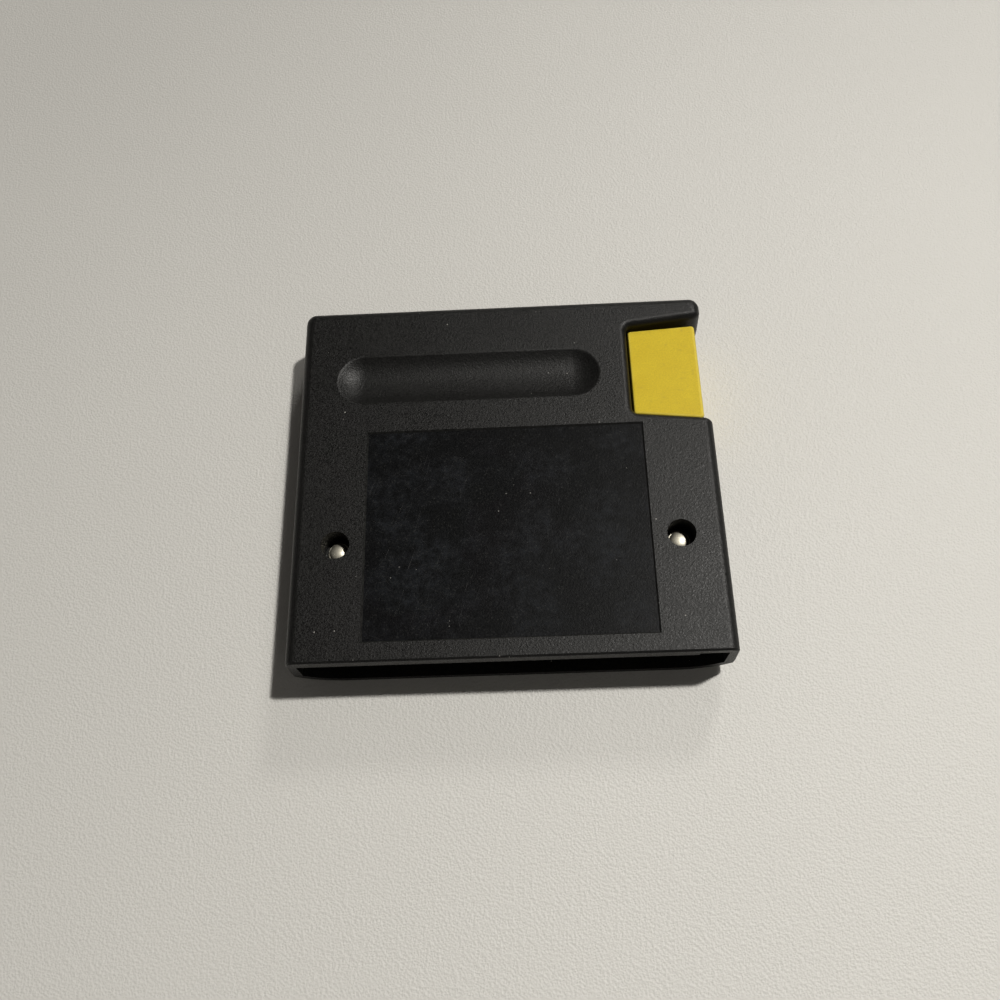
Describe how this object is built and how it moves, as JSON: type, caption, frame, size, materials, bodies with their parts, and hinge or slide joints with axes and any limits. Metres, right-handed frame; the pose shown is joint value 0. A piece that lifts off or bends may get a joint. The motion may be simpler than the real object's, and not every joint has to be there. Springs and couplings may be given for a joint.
{
  "type": "game cartridge",
  "caption": "Plug-in game cartridge: black moulded case with a rear finger groove, a recessed panel, screw wells and a yellow side tab, and a circuit board's card edge in its open end.",
  "frame": {"origin": "under the middle of the case, on the plane that the front face lies on", "axes": "+X to the tab side, +Y from the open mouth to the top edge, +Z out of the rear face"},
  "size_m": [0.106, 0.097, 0.0175],
  "materials": {
    "black_plastic": "fine spark-eroded grain, smooth in the rear panel",
    "yellow_plastic": "fine matt grain",
    "screw_steel": "bright nickel plate",
    "board_laminate": "green solder mask on glass laminate",
    "contact_gold": "gold plate",
    "chip_resin": "matt moulded resin",
    "tinned_metal": "dull tin plate",
    "ceramic_dip": "dipped ceramic coat",
    "can_sleeve": "shrunk sleeve"
  },
  "bodies": {
    "root": {"rear_shell": "black_plastic", "front_shell": "black_plastic", "side_tab": "yellow_plastic", "case_screws": "screw_steel", "circuit_board": "board_laminate", "contacts_rear": "contact_gold", "contacts_front": "contact_gold", "chip_package": "chip_resin", "chip_pins": "tinned_metal", "ceramic_capacitors": "ceramic_dip", "ceramic_leads": "tinned_metal", "bulk_capacitor": "can_sleeve", "bulk_capacitor_leads": "tinned_metal"}
  },
  "joints": []
}
